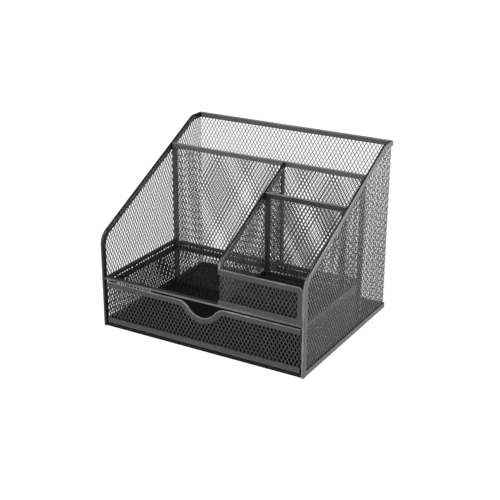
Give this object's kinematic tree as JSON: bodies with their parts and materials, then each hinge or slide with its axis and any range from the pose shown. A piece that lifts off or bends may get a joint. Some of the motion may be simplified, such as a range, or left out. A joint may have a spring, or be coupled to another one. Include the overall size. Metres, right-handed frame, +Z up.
{
  "type": "desk organizer",
  "caption": "Black wire-mesh desk organizer with a tall rear compartment, an open tray, pen cells and a sliding drawer with a finger scoop.",
  "frame": {"origin": "on the table, under the middle of the stand's box", "axes": "+X to the right seen from the drawer's side, +Y from front to back, +Z up"},
  "size_m": [0.228, 0.186, 0.183],
  "materials": {
    "coated_channel": "satin black powder coat on folded steel",
    "coated_mesh": "satin black powder coat on expanded steel mesh",
    "coated_sheet": "satin black powder coat on flat steel sheet"
  },
  "bodies": {
    "stand": {"base_floor": "coated_sheet", "base_left_strip": "coated_channel", "base_right_strip": "coated_channel", "base_back_strip": "coated_channel", "left_side_mesh": "coated_mesh", "right_side_mesh": "coated_mesh", "back_mesh": "coated_mesh", "left_side_rim": "coated_channel", "right_side_rim": "coated_channel", "back_top_rim": "coated_channel", "rear_divider_mesh": "coated_mesh", "rear_divider_top_rail": "coated_channel", "rear_divider_bottom_rail": "coated_channel", "rear_divider_left_stile": "coated_channel", "rear_divider_right_stile": "coated_channel", "shelf_mesh": "coated_mesh", "shelf_front_hem": "coated_channel", "shelf_back_hem": "coated_channel", "shelf_left_hem": "coated_channel", "shelf_right_hem": "coated_channel", "pen_wall_mesh": "coated_mesh", "pen_wall_rim": "coated_channel", "pen_wall_rear_stile": "coated_channel", "pen_wall_bottom_hem": "coated_channel", "pen_front_mesh": "coated_mesh", "pen_front_binding": "coated_channel", "pen_front_bottom_hem": "coated_channel", "cross_divider_mesh": "coated_mesh", "cross_divider_top_rail": "coated_channel", "cross_divider_bottom_rail": "coated_channel", "cross_divider_left_stile": "coated_channel", "cross_divider_right_stile": "coated_channel"},
    "drawer": {"drawer_floor": "coated_sheet", "drawer_front_mesh": "coated_mesh", "drawer_left_mesh": "coated_mesh", "drawer_right_mesh": "coated_mesh", "drawer_back_mesh": "coated_mesh", "drawer_front_rim": "coated_channel", "drawer_left_rim": "coated_channel", "drawer_right_rim": "coated_channel", "drawer_back_rim": "coated_channel", "drawer_front_bottom_hem": "coated_channel", "drawer_left_bottom_hem": "coated_channel", "drawer_right_bottom_hem": "coated_channel", "drawer_back_bottom_hem": "coated_channel"}
  },
  "joints": [
    {"name": "drawer_slide", "type": "slide", "parent": "stand", "child": "drawer", "axis": [0, -1, 0], "range_m": [0, 0.11]}
  ]
}
